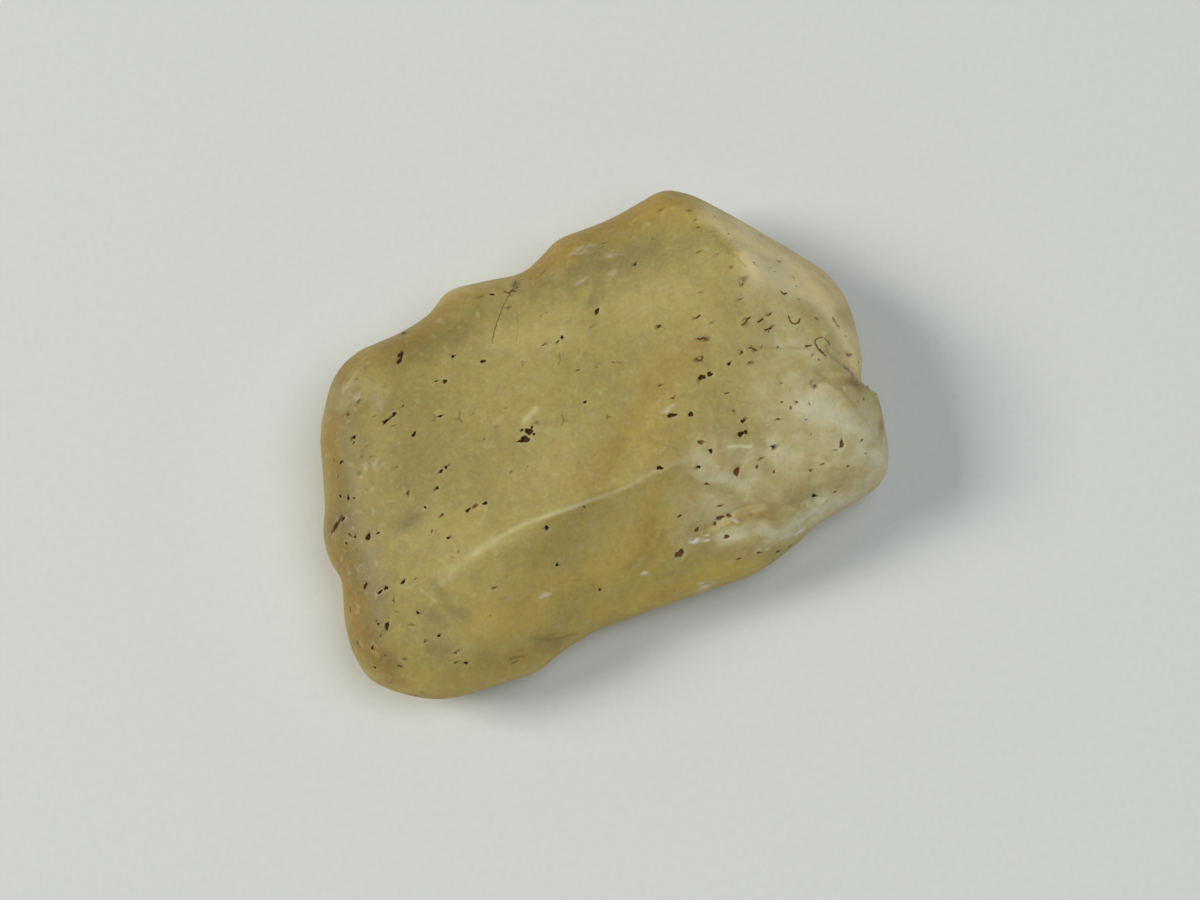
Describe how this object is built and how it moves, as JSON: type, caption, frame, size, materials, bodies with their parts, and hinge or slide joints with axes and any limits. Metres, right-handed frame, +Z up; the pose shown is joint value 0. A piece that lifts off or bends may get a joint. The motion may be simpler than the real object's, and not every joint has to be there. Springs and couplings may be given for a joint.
{
  "type": "raw libyan desert glass",
  "caption": "Raw pebble of pale yellow Libyan desert glass: a dished, sand-frosted top, one sharp crest over a scooped front face, a cloudy end and small open pits.",
  "frame": {"origin": "middle of the pebble's bounding box, on the flat underside that it lies on", "axes": "+X along the pebble towards its cloudy end, +Y towards its notched back edge, +Z up from the surface it lies on"},
  "size_m": [0.0458, 0.0298, 0.0125],
  "materials": {
    "desert_glass": "frosted"
  },
  "bodies": {
    "root": {"glass_pebble": "desert_glass"}
  },
  "joints": []
}
